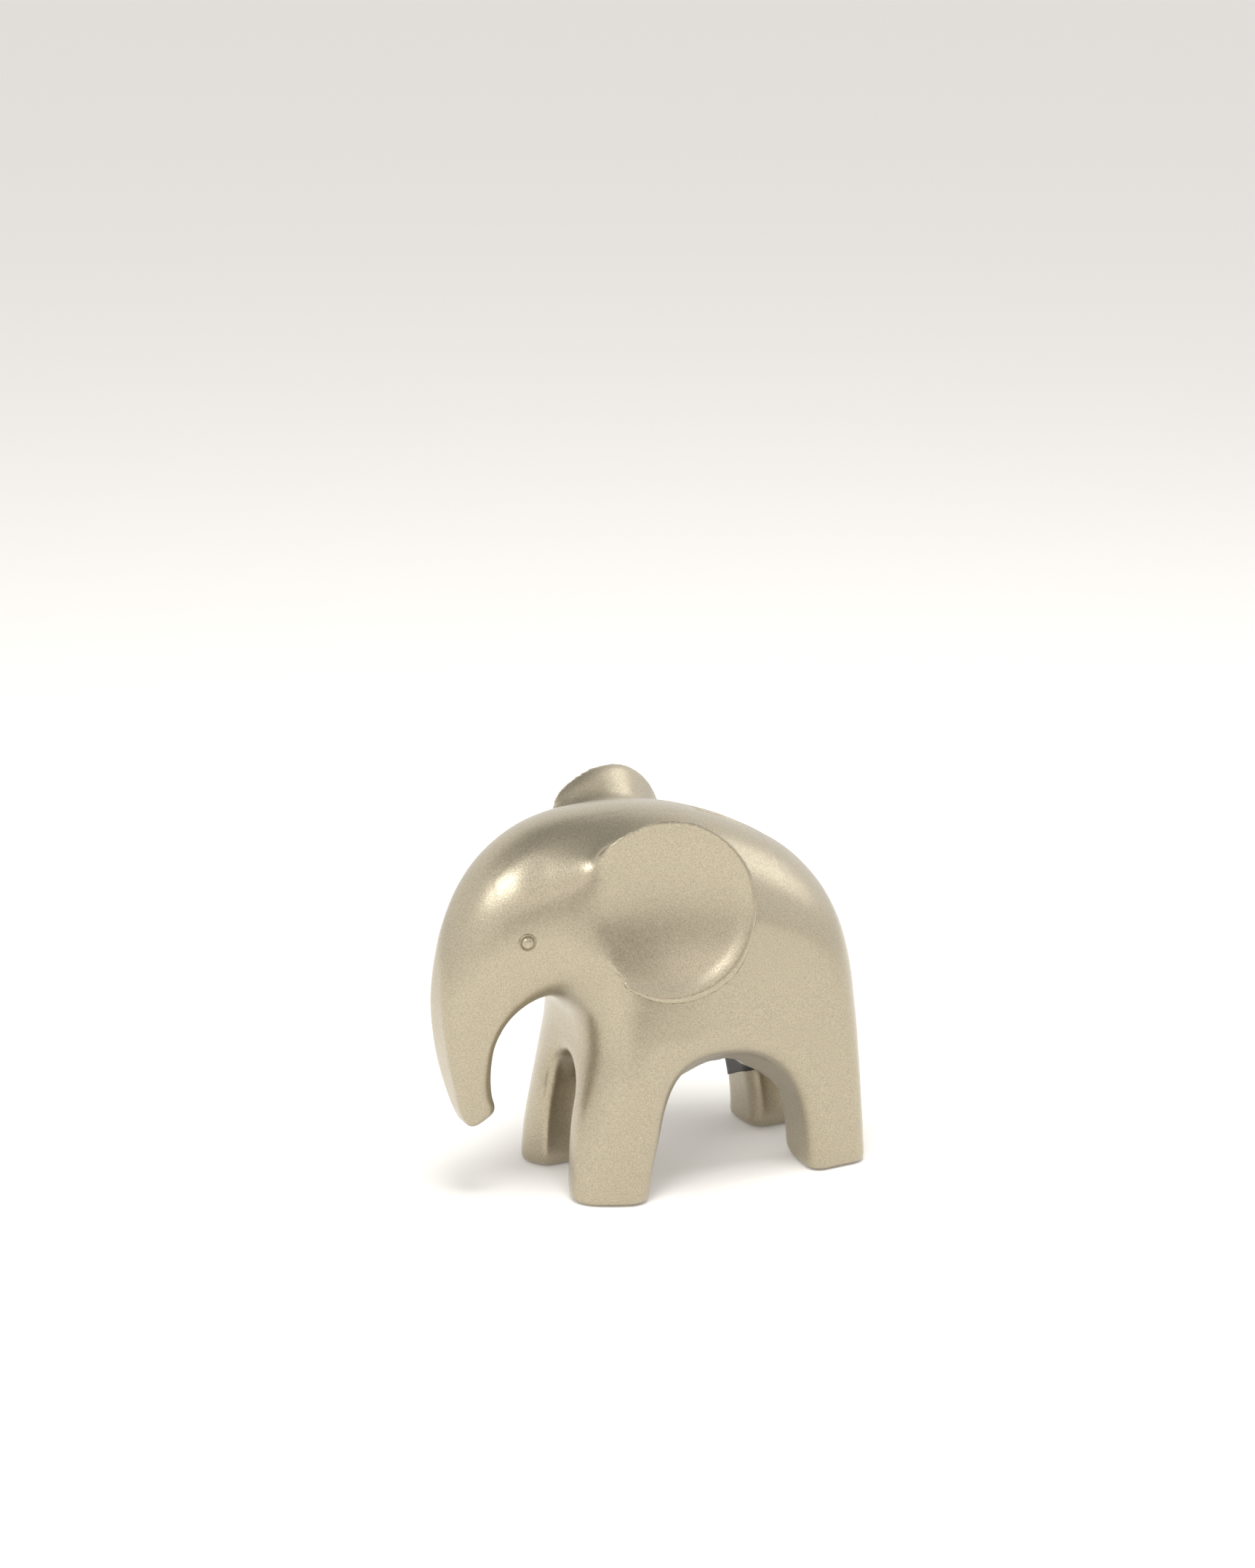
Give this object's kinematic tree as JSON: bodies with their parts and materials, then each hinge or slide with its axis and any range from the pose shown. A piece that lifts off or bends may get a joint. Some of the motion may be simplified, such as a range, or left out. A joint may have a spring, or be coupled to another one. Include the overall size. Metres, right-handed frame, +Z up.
{
  "type": "elephant coin bank",
  "caption": "Hollow elephant money box in satin champagne metallic, with dished ears, a coin slot along the back and a rubber stopper in the belly.",
  "frame": {"origin": "on the table, under the middle of the bank's bounding box", "axes": "+Z up; the head and trunk point along -Y; +X is the animal's left side"},
  "size_m": [0.0904, 0.1585, 0.1459],
  "materials": {
    "champagne_casting": "satin metallic champagne spray paint over a smooth casting",
    "champagne_eye": "satin metallic champagne spray paint",
    "black_rubber": "matte",
    "black_label": "satin, blank"
  },
  "bodies": {
    "casting": {"body_shell": "champagne_casting", "eye_left": "champagne_eye", "eye_right": "champagne_eye", "leg_label": "black_label"},
    "stopper": {"belly_stopper": "black_rubber"}
  },
  "joints": [
    {"name": "stopper_pull", "type": "slide", "parent": "casting", "child": "stopper", "axis": [0, 0, -1], "range_m": [0, 0.024]}
  ]
}
